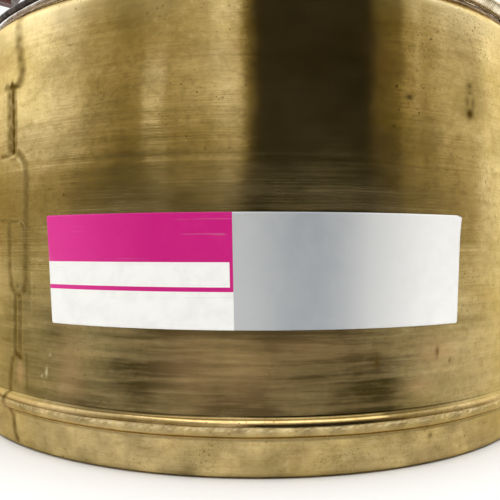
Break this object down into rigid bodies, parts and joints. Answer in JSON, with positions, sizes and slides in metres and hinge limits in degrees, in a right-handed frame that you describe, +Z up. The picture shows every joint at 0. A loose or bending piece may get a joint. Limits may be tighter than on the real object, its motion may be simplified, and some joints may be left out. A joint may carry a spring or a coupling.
{
  "type": "pressure stove",
  "caption": "Round brass kerosene pressure stove with a hand pump, screw filler, quick preheater, roarer burner, lift-off pot stand and folding wire bail.",
  "frame": {"origin": "middle of the foot ring, on the surface the stove stands on", "axes": "+Z up, -Y towards the side with the sticker, +X to the right of it"},
  "size_m": [0.1832, 0.1832, 0.1784],
  "materials": {
    "tank_brass": "tarnished and semi-polished, with fine round brushing",
    "brass": "satin",
    "dark_brass": "heat-darkened",
    "black_steel": "blackened",
    "steel": "satin",
    "burnt_steel": "heat-scaled",
    "foil_sticker": "silver foil with a magenta panel",
    "gasket_rubber": "matte",
    "fibre_gasket": "red fibre",
    "knob_brown": "moulded, reddish brown",
    "leather": "oiled"
  },
  "bodies": {
    "tank": {"tank_shell": "tank_brass", "tank_top": "brass", "tank_bottom": "dark_brass", "side_label": "foil_sticker", "bail_lugs": "dark_brass", "filler_neck": "brass", "pump_collar": "brass", "pump_barrel": "brass", "pump_cap": "brass", "pump_bumper_spring": "steel", "check_valve_body": "brass", "check_valve_spring": "steel", "center_boss": "brass", "pickup_tube": "brass", "fuel_strainer": "steel", "burner_gasket": "fibre_gasket", "spirit_cup": "brass", "burner_base": "dark_brass", "riser_tubes": "steel", "vaporiser_ring": "dark_brass", "return_tubes": "steel", "jet_block": "dark_brass", "jet_nipple": "brass", "burner_bell": "dark_brass", "spindle_packing": "gasket_rubber", "packing_nut": "brass", "preheater_body": "brass", "preheater_cap_nut": "brass", "preheater_dip_tube": "brass", "preheater_spring": "steel", "preheater_pipe": "brass", "preheater_flame_cup": "dark_brass", "leg_sockets": "brass"},
    "bail": {"bail_wire": "black_steel", "bail_grip": "steel"},
    "cap_gasket": {"filler_gasket": "gasket_rubber"},
    "filler_cap": {"filler_cap": "brass"},
    "vent_screw": {"vent_screw": "brass"},
    "pump_plunger": {"pump_rod": "steel", "pump_knob": "knob_brown", "pump_knob_nut": "brass", "piston_plate": "brass", "pump_leather": "leather", "piston_nut": "brass"},
    "check_pip": {"check_valve_pip": "gasket_rubber"},
    "control": {"valve_spindle": "steel", "handwheel": "knob_brown", "handwheel_nut": "steel"},
    "preheater_stem": {"preheater_needle": "steel", "preheater_pin": "brass"},
    "preheater_lever": {"preheater_lever": "steel"},
    "flame_spreader": {"flame_plate": "burnt_steel"},
    "pot_stand": {"pot_legs": "black_steel", "pot_ring": "black_steel"}
  },
  "joints": [
    {"name": "bail_swing", "type": "hinge", "parent": "tank", "child": "bail", "pos_m": [0, 0, 0.10945], "axis": [-0.866, -0.5, 0], "range_deg": [0, 100]},
    {"name": "cap_rise", "type": "slide", "parent": "tank", "child": "cap_gasket", "axis": [0, 0, 1], "range_m": [0, 0.009]},
    {"name": "cap_turn", "type": "hinge", "parent": "cap_gasket", "child": "filler_cap", "pos_m": [-0.0485, 0.028, 0.1169], "axis": [0, 0, 1], "range_deg": [0, 2160]},
    {"name": "vent_turn", "type": "hinge", "parent": "filler_cap", "child": "vent_screw", "pos_m": [-0.0485, 0.028, 0.1289], "axis": [0, 0, 1], "range_deg": [0, 720]},
    {"name": "pump_stroke", "type": "slide", "parent": "tank", "child": "pump_plunger", "axis": [0, 0, 1], "range_m": [0, 0.0695]},
    {"name": "check_lift", "type": "slide", "parent": "tank", "child": "check_pip", "axis": [0, 0, -1], "range_m": [0, 0.0014], "stiffness_N_per_m": 20, "springref_m": -0.002, "deforming": ["check_valve_spring"]},
    {"name": "control_turn", "type": "hinge", "parent": "tank", "child": "control", "pos_m": [0, 0, 0.1254], "axis": [-0.954, -0.2379, 0.1822], "range_deg": [0, 540]},
    {"name": "stem_lift", "type": "slide", "parent": "tank", "child": "preheater_stem", "axis": [0, 0, 1], "range_m": [0, 0.00121], "deforming": ["preheater_spring"]},
    {"name": "lever_turn", "type": "hinge", "parent": "preheater_stem", "child": "preheater_lever", "pos_m": [-0.02756, -0.0441, 0.1261], "axis": [-0.848, 0.5299, 0], "range_deg": [0, 90]},
    {"name": "spreader_lift", "type": "slide", "parent": "tank", "child": "flame_spreader", "axis": [0, 0, 1], "range_m": [0, 0.02]},
    {"name": "stand_lift", "type": "slide", "parent": "tank", "child": "pot_stand", "axis": [0, 0, 1], "range_m": [0, 0.06]}
  ],
  "couplings": [
    {"joint": "cap_rise", "follows": "cap_turn", "m_per_rad": 0.00023873},
    {"joint": "stem_lift", "follows": "lever_turn", "m_per_rad": 0.00076394}
  ]
}
